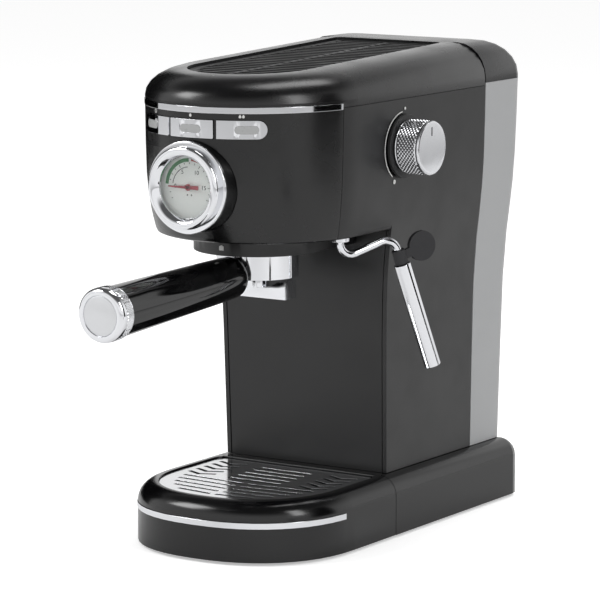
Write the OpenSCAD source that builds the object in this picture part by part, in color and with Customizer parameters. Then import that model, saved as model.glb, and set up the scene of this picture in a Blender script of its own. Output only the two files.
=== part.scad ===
// Home espresso machine: base with drip tray, column, head, portafilter, steam wand and water tank.
// The origin is on the counter, under the axis of the brew group. The front faces -Y, and +Z is up.

/* [Overall] */
// Width of the base
base_w = 147; // [122:1:176]
// Reach of the base in front of the group axis
front_reach = 75; // [72:1:90]
// Depth of the column, from its front panel to the tank
column_depth = 106.5; // [100:0.5:128]
// Depth of the water tank at the top
tank_depth = 49; // [40:1:59]
// Space between the deck of the base and the underside of the head
brew_height = 160; // [150:1:192]
// Height of the head below the top cap
head_h = 83.4; // [78:0.2:100]
// Height of the top cap
cap_h = 27.4; // [24:0.2:33]
// Wall of the moulded shells
shell_wall = 3; // [2.5:0.1:3.6]
// Gap at the seams between shells that don't move
seam = 0.3; // [0.2:0.05:0.4]
// Clearance round pieces that move or lift out
play = 0.4; // [0.3:0.05:0.5]

/* [Base] */
// Height of the deck above the counter
deck_h = 40; // [36:0.5:48]
// Height of the feet
foot_h = 2; // [1.5:0.1:2.4]
// Radius of the rounded upper edge
base_round = 12; // [10:0.5:14]
// Distance from the group axis back to the seam behind the drip tray
tray_seam_y = 50; // [48:0.5:52]
// Height of the chrome strips
strip_h = 4; // [3:0.2:5]
// Width of the tongue under the drip tray
tongue_w = 80; // [66:1:84]
// Width of a slot in the drip plate
slot_w = 3; // [2.4:0.1:3.6]

/* [Column and head] */
// How far the column stands in from the base on each side
column_inset = 11.5; // [10:0.5:13]
// How far the head stands in from the base on each side
head_inset = 1.5; // [1:0.1:2]
// How far the column front leans forward towards the head
column_lean = 5; // [4:0.5:6]
// How far the lower front of the head curves back
chin = 13; // [10:0.5:15]
// Distance from the group axis back to the column front at the deck
column_front_y = 56.5; // [56:0.5:58]
// Distance from the group axis forward to the seam between front shell and side panels
side_seam = 9; // [8:0.5:10]
// Slope of the top, in degrees
top_slope = 1.9; // [1.5:0.1:2.2]
// Half width of the cup tray
cup_tray_r = 41; // [38:0.5:43]

/* [Controls] */
// Height of a key
key_h = 11.4; // [10:0.2:12]
// Angle that each key takes up on the curved front
key_span = 28; // [25:0.5:29]
// Travel of a key
key_travel = 1.2; // [1:0.1:1.4]
// Radius of the gauge boss
gauge_r = 28.8; // [26:0.2:29.4]
// Height of the gauge above the underside of the head
gauge_rise = 36; // [35:0.5:37]
// Radius of the steam knob
knob_r = 17.5; // [15:0.5:20]
// Length of the steam knob
knob_l = 18.4; // [16:0.2:21]

/* [Brew group] */
// Outer radius of the portafilter body
body_r = 26.2; // [25.8:0.1:27]
// Depth of the portafilter body
body_h = 25; // [24:0.5:26]
// Radius of the U-shaped collar
collar_r = 40.7; // [40:0.1:43]
// Depth of the collar
collar_h = 11; // [10.5:0.1:12]
// Length of the handle grip
handle_l = 130; // [108:1:156]
// Droop of the handle, in degrees
handle_droop = 2.4; // [2:0.1:3]
// Radius of the handle end cap
cap_r = 17.2; // [16:0.1:18]

/* [Steam wand] */
// Radius of the steam tube
tube_r = 2.5; // [2.2:0.1:3]
// Radius of the frother sleeve
sleeve_r = 5.4; // [5:0.1:6]
// Length of the frother sleeve
sleeve_l = 71; // [59:1:85]
// Tilt of the wand from upright, in degrees
wand_tilt = 19; // [18:0.5:20]

/* [Hidden] */
$fn = 48;

// Levels
head_z = deck_h + brew_height;
seam_z = head_z + head_h;
top_z = seam_z + cap_h;
collar_z = head_z - collar_h;
// Plan sizes
base_hw = base_w / 2;
head_hw = base_hw - head_inset;
column_hw = base_hw - column_inset;
head_reach = front_reach - 1;
tank_y = column_front_y + column_depth;
rear_y = tank_y + tank_depth;
arc_y = 8;                              // where the curved head front meets the straight sides
flare_z = head_z - 5;                   // middle of the flare from the column to the head
flare_soft = 16;
tank_taper = 6;                         // how much less deep the tank is at the deck
column_top_y = column_front_y - column_lean;
edge_r = 2;                             // small round along the underside of the head
strip_end_y = -side_seam - 0.5;
strip_proud = 0.4;
strip_deep = 1;
base_strip_z = deck_h - base_round - strip_h - 0.5;
head_strip_z = seam_z - 1.4;
plate_t = 1.6;                          // chrome drip plate
plate_inset = base_round + 0.8;
plate_back_y = tray_seam_y - 4;
ledge = 2.4;
floor_z = foot_h + 4.3;                 // underside of the drip tray floor, over the tongue
// Controls
gauge_z = head_z + gauge_rise;
gauge_face_y = -head_reach - 3;
key_z = seam_z - 11.1;
key_cy = -9;
key_cr = head_reach + key_cy;
key_pitch = key_span + 1.7;
key_proud = 0.8;
key_deep = 1.4;
knob_y = 60;
knob_z = head_z + 53;
// Brew group, from the collar down
rim_z = head_z - 3;                     // upper edge of the portafilter
body_z = rim_z - body_h;
rim_r = body_r + 3;
lug_r = rim_r + 4.5;
lug_z = collar_z + 4.5;
lug_h = 2.4;
wall_pf = 1.2;
basket_r = body_r - wall_pf - 0.3;
handle_start = body_r + 0.6;
handle_z = body_z + 3.4;
cap_l = 13;
// Wand: a straight drop, an upward bend, a rising run, a downward bend and the straight lower part
socket_x = column_hw - 5;
socket_y = 8;
pipe_z = head_z + 15;
ball_r = 4;
bend_1 = 8;
bend_2 = 10;
rise = 18;
run_l = 20.1;
wand_azimuth = 62;
grip_r = 4.2;
grip_l = 9.5;

// Half width of the column, flaring out to the head
function side_x(z) = column_hw + 0.012 * (z - deck_h)
    + (head_hw - column_hw - 0.012 * (seam_z - deck_h)) / (1 + exp(-(z - flare_z) / flare_soft));
// How far the chin has curved back at a height
function chin_in(z) = chin * pow(max(0, 1 - (z - head_z) / 50), 2.2);
// How far the small round under the head has cut in
function edge_in(z) = z < head_z + edge_r ? edge_r - sqrt(edge_r ^ 2 - (head_z + edge_r - z) ^ 2) : 0;
// Front of the column at a height
function column_y(z) = column_front_y - column_lean * min(1, (z - deck_h) / brew_height);
// Quarter round: how far in the surface is at a height above the start of the round
function round_in(z, z0, rx, rz) = z <= z0 ? 0 : rx * (1 - sqrt(max(0, 1 - ((z - z0) / rz) ^ 2)));
// Front arc of a plan, from its left end round to its right end
function front_arc(hw, yf, yc, n, steps = 24) = [
    for (i = [0:steps]) let (t = 180 - 180 * i / steps)
        [hw * sign(cos(t)) * pow(abs(cos(t)), 2 / n), yc - (yc - yf) * pow(abs(sin(t)), 2 / n)]
];
function back_corners(hw, yr, rr, steps = 3) = [
    for (s = [0, 1]) for (i = [0:steps]) let (t = 90 * s + 90 * i / steps)
        [(1 - 2 * s) * (hw - rr) + rr * cos(t), yr - rr + rr * sin(t)]
];
// Closed plan with a curved front and small rounds at the back
function plan(hw, yf, yc, yr, n = 2, rr = 0.5) = concat(front_arc(hw, yf, yc, n), back_corners(hw, yr, rr));
function box_plan(hw, yf, yr, rr) = concat([[-hw, yf], [hw, yf]], back_corners(hw, yr, rr, 4));
function at_z(pts, z) = [for (p = pts) [p[0], p[1], z]];
function base_plan(in) = plan(base_hw - in, in - front_reach, 0, rear_y - in, 2.3, max(1, 10 - in));
function head_plan(z, in) = plan(side_x(z) - in, chin_in(z) + in - head_reach, arc_y, tank_y);
function rounded_rect(w, h, r, steps = 5) = [
    for (c = [0:3]) for (i = [0:steps]) let (t = 90 * c + 90 * i / steps)
        [(c == 0 || c == 3 ? 1 : -1) * (w / 2 - r) + r * cos(t), (c < 2 ? 1 : -1) * (h / 2 - r) + r * sin(t)]
];

// Closed solid through a list of rings, each a list of points that runs anticlockwise from above
module loft(rings) {
    m = len(rings[0]);
    k = len(rings);
    polyhedron(
        points = [for (r = rings) each r],
        faces = concat(
            [[for (i = [0:m - 1]) i]],
            [[for (i = [m - 1:-1:0]) (k - 1) * m + i]],
            [for (j = [0:k - 2]) for (i = [0:m - 1]) let (b = (i + 1) % m)
                each [[j * m + i, (j + 1) * m + i, (j + 1) * m + b], [j * m + i, (j + 1) * m + b, j * m + b]]]
        ),
        convexity = 8
    );
}

// A curved shell, taken as one smooth mesh
module moulded() resize([0, 0, 0]) children();
module slab(pts, z, h) translate([0, 0, z]) linear_extrude(h) polygon(pts);
module tube(r, bore, z, h) translate([0, 0, z]) difference() {
    cylinder(r = r, h = h);
    translate([0, 0, -1]) cylinder(r = bore, h = h + 2);
}

// Round pipe along a line of points, with a bend of its own radius at each corner between
function unit(v) = v / norm(v);
function corner_arc(a, p, b, radius, steps = 6) = let (u = unit(a - p), v = unit(b - p), half = acos(u * v) / 2,
    c = p + unit(u + v) * radius / sin(half), away = -unit(u + v), side = unit(v - u))
    [for (i = [0:steps]) let (t = (90 - half) * (2 * i / steps - 1))
        c + radius * (cos(t) * away + sin(t) * side)];
function pipe_path(pts, bends) = [
    for (i = [0:len(pts) - 1]) each (i == 0 || i == len(pts) - 1) ? [pts[i]]
        : corner_arc(pts[i - 1], pts[i], pts[i + 1], bends[i - 1])
];
module pipe(pts, r, bends, sides = 12) {
    path = pipe_path(pts, bends);
    last = len(path) - 1;
    loft([for (i = [0:last]) let (
        t = unit(path[min(i + 1, last)] - path[max(i - 1, 0)]),
        x = unit(cross([0.31, 0.52, 0.79], t)), y = cross(t, x))
        [for (k = [0:sides - 1]) path[i] + r * (cos(360 * k / sides) * x + sin(360 * k / sides) * y)]]);
}
module in_front_of(y) intersection() {
    children();
    translate([-200, y - 400, -1]) cube([400, 400, 500]);
}
module behind(y) intersection() {
    children();
    translate([-200, y, -1]) cube([400, 400, 500]);
}
// Along +X or along -Y, with the local Z axis as the length
module along_x(p) translate(p) rotate([0, 90, 0]) children();
module along_front(p) translate(p) rotate([90, 0, 0]) children();
module screws(spots, z, head_r, head_h, shank_r, shank_l) for (p = spots) translate([p[0], p[1], z]) {
    cylinder(r = head_r, h = head_h);
    translate([0, 0, head_h - 0.01]) cylinder(r = shank_r, h = shank_l);
}

// ---- Base ----
screw_spots = [for (x = [-1, 1]) for (y = [tray_seam_y + 18, rear_y - 14]) [x * (base_hw - 18), y]];
screw_r = 1.6;
gland_x = 32 - base_hw;
gland_z = deck_h / 2 - 3;
seat_y = (tank_y + rear_y) / 2 - 2;
hose_y = tank_y - 53;
plate_h = 2.4;
tongue_h = floor_z - seam - foot_h;
tongue_front = -30;
boss_r = 4.2;

module base_outer(in, z0) {
    top = deck_h - in;
    loft([
        for (z = concat([z0], [for (a = [0:15:90]) deck_h - base_round + (base_round - in) * sin(a)]))
            at_z(base_plan(in + round_in(z, deck_h - base_round, base_round - in, base_round - in)), min(z, top))
    ]);
}

module base_shell() color("#202022") moulded() {
    back_y = tray_seam_y + seam / 2;
    difference() {
        behind(back_y) base_outer(0, foot_h);
        behind(back_y + shell_wall) base_outer(shell_wall, foot_h - 1);
        translate([-tongue_w / 2 - seam, back_y - 1, 0])
            cube([tongue_w + 2 * seam, shell_wall + 2, tongue_h + foot_h + seam]);
        translate([0, seat_y, deck_h - 5]) cylinder(r = 8.3, h = 10);
        translate([-20, hose_y - 14, deck_h - 5]) cube([40, 28, 10]);
        along_front([gland_x, rear_y + 1, gland_z]) cylinder(r = 6.3, h = shell_wall + 2);
    }
    for (p = screw_spots) translate([p[0], p[1], foot_h + plate_h + seam]) difference() {
        cylinder(r = boss_r, h = deck_h - foot_h - plate_h - seam - 1, $fn = 24);
        translate([0, 0, -1]) cylinder(r = screw_r, h = 14, $fn = 24);
    }
}

module base_plate() color("#2b2b2d") difference() {
    in = shell_wall + seam;
    union() {
        slab(concat(
            [[in - base_hw, tray_seam_y + in + 0.2], [base_hw - in, tray_seam_y + in + 0.2]],
            back_corners(base_hw - in, rear_y - in, 10 - in)), foot_h, plate_h);
        translate([-tongue_w / 2, tongue_front + tongue_w / 2, foot_h])
            cube([tongue_w, tray_seam_y + 12 - tongue_front - tongue_w / 2, tongue_h]);
        translate([0, tongue_front + tongue_w / 2, foot_h]) cylinder(r = tongue_w / 2, h = tongue_h);
    }
    for (p = screw_spots) translate([p[0], p[1], 0]) {
        cylinder(r = screw_r + 0.3, h = 20);
        cylinder(r = 3.4, h = foot_h + 1.2);
    }
}

module base_screws() color("silver") screws(screw_spots, foot_h, 3.1, 1.2, screw_r - 0.1, 10);

foot_spots = [for (x = [-1, 1]) [x * (base_hw - 22), rear_y - 30]];
module feet() color("#151515") {
    slab(rounded_rect(tongue_w - 8, 16, 7.9), 0, foot_h);
    for (p = foot_spots) translate([p[0], p[1], 0]) cylinder(r = 9, h = foot_h);
}

module cord_gland() color("#151515") along_front([gland_x, rear_y + 2, gland_z]) difference() {
    union() {
        cylinder(r = 8, h = 1.9);
        cylinder(r = 6, h = 12);
    }
    translate([0, 0, -1]) cylinder(r = 3.6, h = 20);
}

tray_end_y = tray_seam_y - seam / 2;
function plate_plan(in) = plan(base_hw - plate_inset - in, plate_inset + in - front_reach, 0,
    plate_back_y - in, 2.3, 6 - in);
module drip_tray() color("#1c1c1e") moulded() {
    mid = deck_h - base_round;
    difference() {
        in_front_of(tray_end_y) base_outer(0, foot_h);
        in_front_of(tray_end_y - shell_wall) slab(base_plan(shell_wall), foot_h - 1, floor_z - foot_h + 1);
        translate([-tongue_w / 2 - 0.6, 0, 0]) cube([tongue_w + 1.2, tray_seam_y + 1, floor_z]);
        in_front_of(tray_end_y - shell_wall) loft([
            at_z(base_plan(shell_wall), floor_z + 2.5),
            at_z(base_plan(shell_wall), mid - 2),
            at_z(base_plan(plate_inset + ledge), deck_h - 5.4),
            at_z(base_plan(plate_inset + ledge), deck_h + 1)
        ]);
        slab(plate_plan(0), deck_h - plate_t - 1.4, 9);
        in_front_of(strip_end_y) difference() {
            slab(base_plan(-1), base_strip_z, strip_h);
            slab(base_plan(strip_deep), base_strip_z - 1, strip_h + 2);
        }
    }
}

module base_trim() color("#d8d8da") in_front_of(strip_end_y - 0.1) difference() {
    slab(base_plan(-strip_proud), base_strip_z + 0.05, strip_h - 0.1);
    slab(base_plan(strip_deep - 0.05), base_strip_z - 1, strip_h + 2);
}

// Slots of the drip plate: shallow chevrons at the front, and rows with a zigzag at each side behind them
function plate_half(y) = (base_hw - plate_inset)
    * pow(1 - pow(min(1, max(0, -y) / (front_reach - plate_inset)), 2.3), 1 / 2.3);
module slot(a, b) polygon(let (d = (b - a) / norm(b - a) * slot_w / 2, s = [-d[1], d[0]])
    [a - s - d, b - s + d, b + s + d, a + s - d]);
module drip_slots() {
    pitch = 3 * slot_w;
    front_y = plate_inset - front_reach + 11;
    row_y = front_y + 5 * pitch + 2;
    side_x = base_hw - plate_inset - 9;
    for (s = [-1, 1]) for (i = [0:4]) let (y = front_y + pitch * i)
        slot([s * (plate_half(y) - 12), y + 3], [s * 3.5, y]);
    for (y = [row_y:pitch:plate_back_y - 7]) {
        slot([-18, y], [18, y]);
        for (s = [-1, 1]) {
            slot([s * side_x, y + 3], [s * (side_x - 9), y - 1]);
            slot([s * (side_x - 9), y - 1], [s * (side_x - 18), y + 3]);
        }
    }
}

module drip_plate() color("#c4c4c8") translate([0, 0, deck_h - plate_t - 1.1])
    linear_extrude(plate_t) difference() {
        polygon(plate_plan(play));
        drip_slots();
    }

// ---- Column ----
panel_zs = [for (z = [0, 0.3, 0.55, 0.7, 0.8, 0.88, 0.94]) deck_h + 0.2 + z * (brew_height - 0.2)];
head_zs = [for (z = [0, 0.01, 0.035, 0.1, 0.18, 0.3, 0.46, 0.7, 1]) head_z + z * (head_h - seam / 2)];

module column_front() color("#1b1b1d") loft([
    for (z = concat(panel_zs, [head_z - 0.2])) let (hw = side_x(z) - shell_wall - 0.6, y = column_y(z) + 0.3)
        at_z([[-hw, y], [hw, y], [hw, y + 2.5], [-hw, y + 2.5]], z)
]);

function panel_arc(z) = let (b = arc_y + head_reach - chin_in(z)) [
    for (i = [0:5]) let (y = -side_seam + seam / 2 + i * (arc_y + side_seam - seam / 2) / 5)
        [sqrt(1 - ((arc_y - y) / b) ^ 2), y]
];
module side_panel() moulded() union() {
    end_y = tank_y - 0.2;
    loft([
        for (z = concat(panel_zs, head_zs)) let (x = side_x(z), y = z < head_z ? column_y(z) : column_top_y)
            at_z([[x - shell_wall, y], [x, y], [x, end_y], [x - shell_wall, end_y]], z)
    ]);
    loft([
        for (z = head_zs) let (x = side_x(z) - edge_in(z), arc = panel_arc(z), xi = side_x(z) - shell_wall)
            at_z(concat(
                [for (p = arc) [x * p[0], p[1]]],
                [[x, column_top_y + 1], [xi, column_top_y + 1]],
                [for (i = [5:-1:0]) [xi * arc[i][0], arc[i][1]]]), z)
    ]);
}
module side_panel_right() color("#2c2c2e") moulded() difference() {
    side_panel();
    along_x([head_hw - 10, knob_y, knob_z]) cylinder(r = 5.5, h = 20, $fn = 32);
}
module side_panel_left() color("#2c2c2e") mirror([1, 0, 0]) side_panel();

// The bulkhead in front of the tank, with posts for the power board
bay_t = 2.5;
board_gap = 9;
board_spots = [for (x = [-38, 38]) for (z = [70, 140]) [x, deck_h + z - 40]];
module tank_bay() color("#1b1b1d") {
    zs = concat([deck_h + 0.2], panel_zs, head_zs);
    edge = [for (z = zs) [side_x(z) - shell_wall - seam, z]];
    translate([0, tank_y - 0.2, 0]) rotate([90, 0, 0])
        linear_extrude(bay_t) polygon(concat(edge, [for (i = [len(edge) - 1:-1:0]) [-edge[i][0], edge[i][1]]]));
    for (p = board_spots) along_front([p[0], tank_y - bay_t - 0.1, p[1]]) cylinder(r = 3, h = board_gap);
}

module tank_seat() color("#29292b") translate([0, seat_y, 0]) difference() {
    union() {
        translate([0, 0, deck_h]) cylinder(r = 14, h = 2);
        translate([0, 0, deck_h - 14]) cylinder(r = 8, h = 18);
        translate([0, 0, deck_h]) cylinder(r = 10.5, h = 8);
    }
    translate([0, 0, deck_h - 15]) cylinder(r = 2, h = 30);
    translate([0, 0, deck_h + 2.5]) cylinder(r = 8.4, h = 10);
}

// ---- Head ----
module at_key(i) translate([0, key_cy, 0]) rotate([0, 0, i * key_pitch]) children();
// The keys slide in towards one centre, so their width leaves a gap between them at full travel
key_gap = 0.9;
key_w = 2 * (key_cr - key_deep - key_travel - key_gap) * sin(key_pitch / 2);
// A middle key is a plain bar, and an outer one ends in a full round
function key_shape(i, w, h) = i == 0 ? rounded_rect(2 * w, 2 * h, 0.6)
    : [for (p = concat([[-w, h], [-w, -h]], [for (a = [-90:15:90]) [w - h + h * cos(a), h * sin(a)]])) [i * p[0], p[1]]];
module key_block(i, grow) at_key(i) translate([0, -key_cr / 2, key_z]) rotate([90, 0, 0])
    linear_extrude(key_cr) polygon(key_shape(i, key_w / 2 + grow, key_h / 2 + grow));

module head_front() color("#19191b") moulded() difference() {
    in_front_of(-side_seam - seam / 2) difference() {
        loft([for (z = head_zs) at_z(head_plan(z, edge_in(z)), z)]);
        loft([for (z = concat([head_z - 1], head_zs, [seam_z + 1])) at_z(head_plan(z, shell_wall), z)]);
    }
    along_front([0, -side_seam - 10, gauge_z]) cylinder(r = gauge_r + seam, h = 90, $fn = 48);
    for (i = [-1:1]) key_block(i, 0.3);
    strip_cut(strip_deep);
}

function strip_plan(in) = plan(head_hw - in, in - head_reach, arc_y, tank_y);
module strip_ring(out, in, z, h) difference() {
    slab(strip_plan(-out), z, h);
    slab(strip_plan(in), z - 1, h + 2);
}
module strip_cut(in) in_front_of(strip_end_y) strip_ring(2, in, head_strip_z, strip_h);
module head_trim() color("#d8d8da")
    in_front_of(strip_end_y - 0.1) strip_ring(strip_proud, strip_deep - 0.05, head_strip_z + 0.05, strip_h - 0.1);

// The cap rises to the back: its upper surface is tilted about its rear edge
cap_soft = 26;
cap_start = 4.4;
function cap_point(p, h) = let (full = cap_h - cap_start, slope = tan(top_slope) * (tank_y - p[1]))
    [p[0], p[1], seam_z + (h <= cap_start ? h : cap_start + (h - cap_start) * (1 - slope / full))];
cap_hs = concat([0], [for (a = [0:15:75]) cap_start + (cap_h - cap_start) * sin(a)], [cap_h]);
function cap_in(h) = round_in(h, cap_start, cap_soft, cap_h - cap_start);
module cap_outer(in, h0) loft([
    for (h = cap_hs) let (drop = h == 0 ? h0 : in * h / cap_h)
        [for (p = plan(head_hw - in - cap_in(h), in + cap_in(h) - head_reach, arc_y, tank_y - 0.2 - in))
            cap_point(p, h - drop)]
]);
// Frame of the tilted top: Z is zero at the surface
module on_top() translate([0, tank_y, top_z]) rotate([top_slope, 0, 0]) translate([0, -tank_y, 0]) children();
cup_back_y = tank_y - 4;
cup_front_y = cap_soft + 1 - head_reach;
pan_h = 6;
function cup_plan(in) = plan(cup_tray_r - in, cup_front_y + in, cup_front_y + cup_tray_r,
    cup_back_y - in, 2, 5 - in);

module top_cap() color("#19191b") moulded() difference() {
    union() {
        difference() {
            cap_outer(0, 0);
            cap_outer(shell_wall, 3);
        }
        on_top() slab(cup_plan(-2.5), -pan_h - 2.5, pan_h + 1.5);
    }
    on_top() slab(cup_plan(0), -pan_h, pan_h + 5);
    translate([0, 0, seam]) strip_cut(strip_deep);
    translate([-100, -100, seam_z - 20]) cube([200, 400, 20 + seam / 2]);
}

bar_pitch = 8;
module cup_tray() color("#202022") on_top() translate([0, 0, 0.2 - pan_h]) linear_extrude(4) difference() {
    polygon(cup_plan(0.3));
    for (y = [cup_front_y + 14:bar_pitch:cup_back_y - 8]) for (s = [-1, 1]) {
        w = min(cup_tray_r - 5, sqrt(max(1, cup_tray_r ^ 2 - max(0, cup_front_y + cup_tray_r - y) ^ 2)) - 6);
        translate([s > 0 ? 1.5 : -w, y]) square([w - 1.5, bar_pitch - 2.5]);
    }
}

cover_y = column_top_y + 8;
module group_cover() color("#1b1b1d") difference() {
    in = shell_wall + seam;
    union() {
        slab(plan(side_x(head_z) - in, chin + in - head_reach, arc_y, cover_y), head_z, 2.4);
        slab(concat(
            front_arc(collar_r, -collar_r, 0, 2, 36),
            [for (s = [1, -1]) [s * collar_r, column_top_y - 0.4]]), collar_z, collar_h);
    }
    translate([0, 0, collar_z - 1]) cylinder(r = rim_r + 1.2, h = 30);
    translate([0, 0, collar_z + 1.5]) cylinder(r = collar_r - 2, h = 30);
    translate([socket_x, socket_y, head_z - 1]) cylinder(r = 6.2, h = 10);
}

module key_drum(out) translate([0, key_cy, key_z - key_h]) cylinder(r = key_cr + out, h = 2 * key_h, $fn = 240);
module key(i) color("#d8d8da") difference() {
    union() {
        intersection() {
            key_block(i, 0);
            difference() {
                key_drum(key_proud);
                key_drum(-key_deep);
            }
        }
        at_key(i) along_front([0, 8.5 - key_cr, key_z]) cylinder(r = 2.2, h = 8.5 - key_deep + 0.5);
    }
    lens_block(i, 0.05, -0.5, 3);
}
module lens_block(i, grow, back, front) at_key(i) along_front([0, -key_cr - back, key_z])
    translate([i * lens_shift, 0, 0]) linear_extrude(front - back)
        polygon(rounded_rect(lens_w + 2 * grow, lens_h + 2 * grow, lens_h / 2 - 0.1 + grow));
lens_w = key_w * 0.48;
lens_h = 5;
lens_shift = key_w * 0.1;
module lens(i) color("#9a9a98") intersection() {
    lens_block(i, 0, -0.45, 4);
    key_drum(key_proud + 0.1);
}

carrier_r = key_cr - 16;
module switch_carrier() color("#232325") {
    for (i = [-1:1]) at_key(i) translate([-14, -carrier_r, key_z - 5]) cube([28, 2, 16 - seam]);
    for (i = [-1:1]) at_key(i) translate([-5, shell_wall + 0.5 - key_cr, key_z + key_h / 2 + 1])
        cube([10, key_cr - carrier_r - shell_wall - 0.5, 2]);
}
module key_switches() color("#3a3a3c") for (i = [-1:1]) at_key(i) {
    translate([-3, -carrier_r - 3.5, key_z - 3]) cube([6, 3.5, 6]);
    along_front([0, -carrier_r - 3.5, key_z]) cylinder(r = 1.5, h = 2);
}

// ---- Gauge ----
module at_gauge(y) along_front([0, y, gauge_z]) children();
can_r = gauge_r - 5;
module gauge_housing() color("#151515") at_gauge(gauge_face_y + 27) difference() {
    union() {
        cylinder(r = can_r, h = 27);
        translate([0, 0, 10]) cylinder(r = gauge_r, h = 17);
    }
    translate([0, 0, 2]) cylinder(r = can_r - 2, h = 30);
    translate([0, 0, -1]) cylinder(r = 2.5, h = 10);
}
module gauge_flange() color("#d8d8da") at_gauge(gauge_face_y) tube(gauge_r, can_r - 2, 0, 2);
module gauge_dial() color("#e8ece6") at_gauge(gauge_face_y + 3.2) tube(can_r - 2.2, 1.1, 0, 1.2);
needle_l = 15;
module gauge_needle() color("#b03040") {
    at_gauge(gauge_face_y + 0.9) {
        cylinder(r = 2.2, h = 1);
        translate([-needle_l, -0.5, 0]) cube([needle_l, 1, 0.8]);
        translate([0, -1.2, 0]) cube([8, 2.4, 0.8]);
    }
    at_gauge(gauge_face_y + 8) cylinder(r = 1.05, h = 7.2);
}
module gauge_bezel() color("#d8d8da") at_gauge(gauge_face_y - 2) difference() {
    union() {
        cylinder(r = gauge_r - 2.8, h = 3.5);
        translate([0, 0, 3.5]) cylinder(r1 = gauge_r - 2.8, r2 = gauge_r - 5.8, h = 1.8);
    }
    translate([0, 0, -1]) cylinder(r = 19, h = 20);
    translate([0, 0, -1]) cylinder(r = 21.1, h = 2.9);
}
module gauge_glass() color([0.85, 0.9, 0.9, 0.4]) at_gauge(gauge_face_y - 2.2) cylinder(r = 21, h = 1.6);

// ---- Steam valve and knob ----
collar_x = side_x(knob_z) + 0.5;
valve_x = side_x(knob_z) - shell_wall - 0.6;
stem_r = 3;
stem_fit = 0.05;
module knob_collar() color("#101012") along_x([collar_x, knob_y, knob_z]) tube(knob_r + 3, 6, 0, 2.4);
module steam_knob() color("#c8c8cc") along_x([collar_x + 2.4 + play, knob_y, knob_z]) difference() {
    union() {
        cylinder(r = knob_r - 0.6, h = 2.4);
        translate([0, 0, 2.3]) cylinder(r = knob_r, h = knob_l - 5.3);
        translate([0, 0, knob_l - 3.1]) cylinder(r = knob_r - 0.8, h = 3.1);
    }
    translate([0, 0, -1]) cylinder(r = stem_r + 0.02, h = knob_l - 4);
}
module steam_valve() color("#b9a25c") along_x([valve_x - 30, knob_y, knob_z]) difference() {
    union() {
        cylinder(r = 9, h = 28);
        translate([0, 0, 26]) cylinder(r = 12, h = 4);
        rotate([0, 90, 0]) translate([-10, 0, 0]) cylinder(r = 4, h = 14);
        translate([0, 0, -6]) cylinder(r = 4, h = 8);
    }
    translate([0, 0, 6]) cylinder(r = stem_r + stem_fit, h = 40);
}
module valve_stem() color("#c9c9cc") along_x([valve_x - 23, knob_y, knob_z])
    cylinder(r = stem_r, h = collar_x + 2.4 + play + knob_l - 6 - valve_x + 23);

// ---- Steam wand ----
module in_wand() translate([socket_x, socket_y, head_z]) rotate([0, 0, wand_azimuth]) children();
// Corners of the tube in the wand's plane, and the end of its lower bend
turn_1 = 90 + rise;
turn_2 = rise + 90 - wand_tilt;
trim_1 = bend_1 * tan(turn_1 / 2);
trim_2 = bend_2 * tan(turn_2 / 2);
corner_1 = [0, 0, -ball_r - trim_1];
corner_2 = corner_1 + (trim_1 + run_l + trim_2) * [cos(rise), 0, sin(rise)];
down_dir = [sin(wand_tilt), 0, -cos(wand_tilt)];
bend_end = corner_2 + trim_2 * down_dir;
module down_wand(s) in_wand()
    translate(bend_end) rotate([0, 180 - wand_tilt, 0]) translate([0, 0, s]) children();
sleeve_top = grip_l;

module wand_socket() color("#c8c8cc") translate([socket_x, socket_y, head_z]) difference() {
    union() {
        translate([0, 0, -3.2]) cylinder(r = 6, h = 9);
        translate([0, 0, 2.5]) cylinder(r = 8, h = 1.4);
    }
    sphere(r = ball_r + 0.06);
    translate([0, 0, -10]) cylinder(r = tube_r + 0.8, h = 10);
    cylinder(r = 1.5, h = 20);
}
module steam_tube() color("#d8d8da") in_wand() {
    sphere(r = ball_r);
    pipe([[0, 0, 1 - ball_r], corner_1, corner_2, bend_end + (sleeve_top + sleeve_l - 12) * down_dir],
        tube_r, [bend_1, bend_2], 16);
}
disc_r = 9.7;
disc_out = 17;
module steam_grip() color("#3c3c3e") down_wand(0) difference() {
    union() {
        cylinder(r = grip_r, h = grip_l - 0.3);
        rotate([90, 0, 0]) translate([-disc_out, 4, -1.5]) cylinder(r = disc_r, h = 3);
        translate([disc_r - disc_out - 2, -1.5, 1.5]) cube([disc_out - disc_r + 2, 3, 6]);
    }
    translate([0, 0, -5]) cylinder(r = tube_r + 0.02, h = 30);
}
module frother_sleeve() color("#d8d8da") down_wand(sleeve_top) difference() {
    cylinder(r = sleeve_r, h = sleeve_l);
    translate([0, 0, -1]) cylinder(r = tube_r + 0.06, h = 20);
    translate([0, 0, 12]) cylinder(r = sleeve_r - 0.9, h = sleeve_l);
}

// ---- Brew group ----
ring_r = collar_r - 2.4;
groove_r = lug_r + 0.5;
ledge_z = collar_z + 1.8;
lug_span = 34;
module wedge(a0, a1, r, z, h) translate([0, 0, z]) rotate([0, 0, a0])
    rotate_extrude(angle = a1 - a0) square([r, h]);
module group_head() color("#b4b4b8") difference() {
    translate([0, 0, ledge_z]) cylinder(r = ring_r, h = head_z + 6 - ledge_z);
    translate([0, 0, ledge_z - 1]) cylinder(r = rim_r + 0.4, h = rim_z - ledge_z + 1.3);
    translate([0, 0, lug_z - 0.4]) cylinder(r = groove_r, h = lug_h + 0.8);
    for (s = [-45, 135])
        wedge(s - lug_span / 2, s + lug_span / 2, groove_r, ledge_z - 1, lug_z - ledge_z + 1.5);
    tube(rim_r + 0.2, basket_r - 1.5, rim_z, head_z - rim_z);
    translate([0, 0, rim_z - 1]) cylinder(r = 2, h = 30);
}
module group_gasket() color("#7a2f22") tube(rim_r, basket_r - 1.3, rim_z + 0.3, head_z - rim_z - 0.3);
screen_r = basket_r - 2;
module shower_screen() color("#c8c8cc") tube(screen_r, 2.2, rim_z - 1.5, 1.5);
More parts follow.
